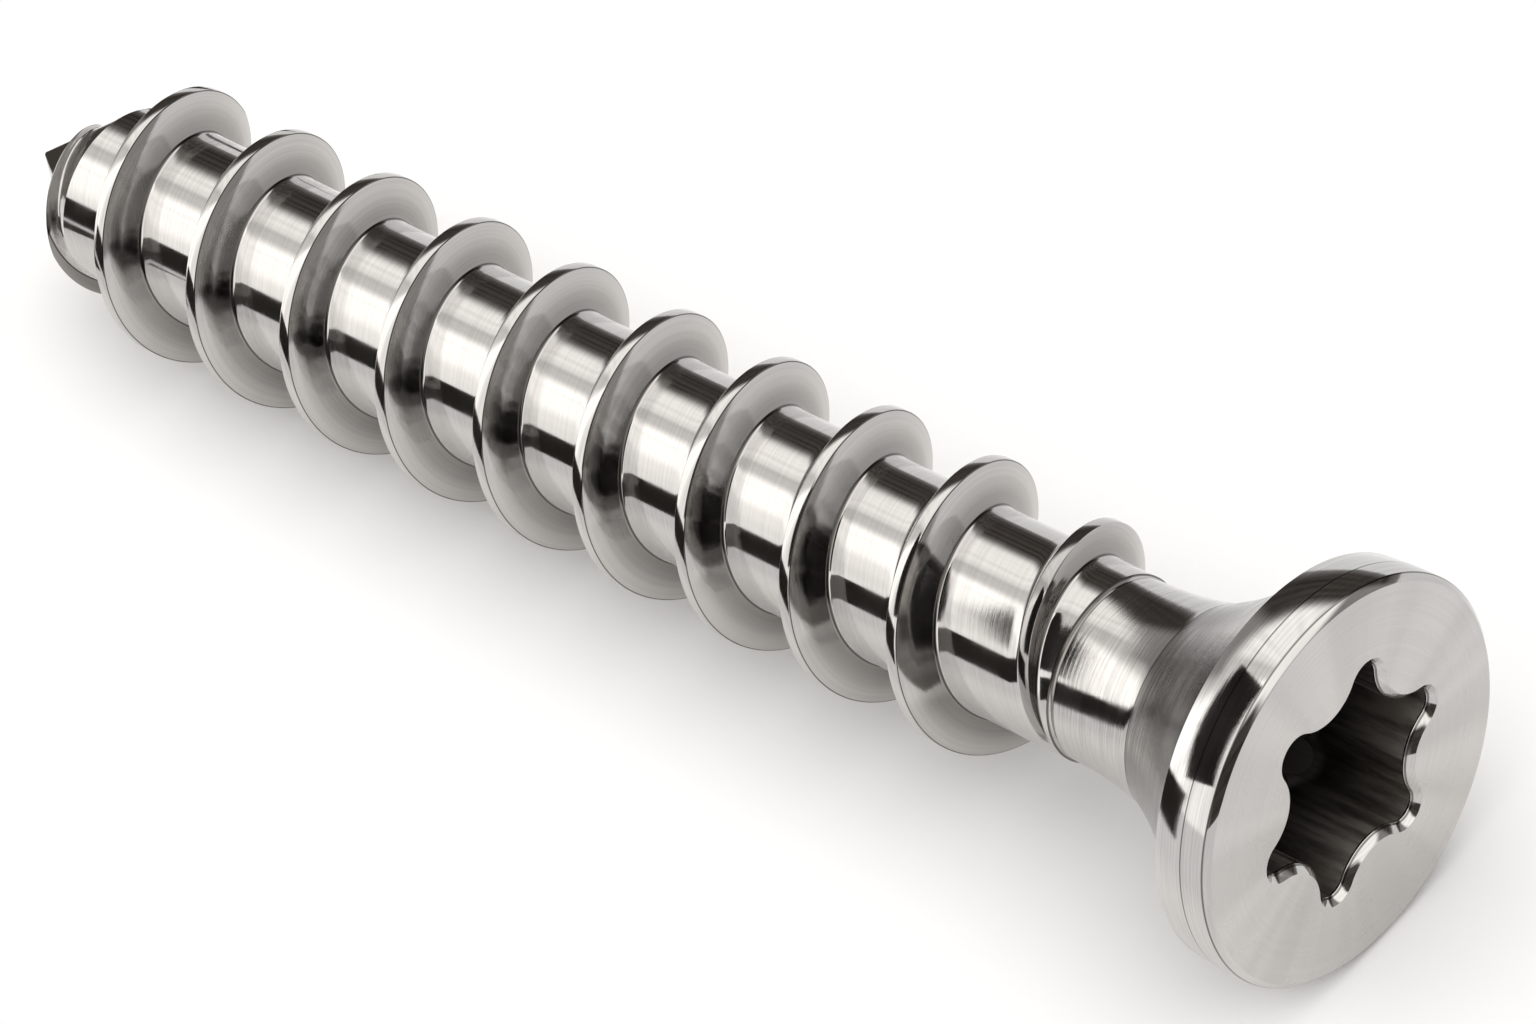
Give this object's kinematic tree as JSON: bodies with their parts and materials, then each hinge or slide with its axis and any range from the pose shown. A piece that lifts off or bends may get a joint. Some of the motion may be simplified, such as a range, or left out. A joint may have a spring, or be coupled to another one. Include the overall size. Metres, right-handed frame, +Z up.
{
  "type": "pedicle screw",
  "caption": "One-piece pedicle screw with a flat disc head, six-lobe socket, waisted neck, cylindrical core, coarse sharp-edged right-hand bone thread and conical point.",
  "frame": {"origin": "centre of the bounding box's underside, on the plane that the screw lies on", "axes": "+Z up; the screw's axis lies in the XZ plane, head towards +X and point towards -X, leaning about 2.6 degrees down to the point; +Y completes the right-handed frame"},
  "size_m": [0.0422, 0.0096, 0.0097],
  "materials": {
    "implant_steel": "turned and polished, with fine marks round the axis, brushed behind the head"
  },
  "bodies": {
    "root": {"bone_screw": "implant_steel"}
  },
  "joints": []
}
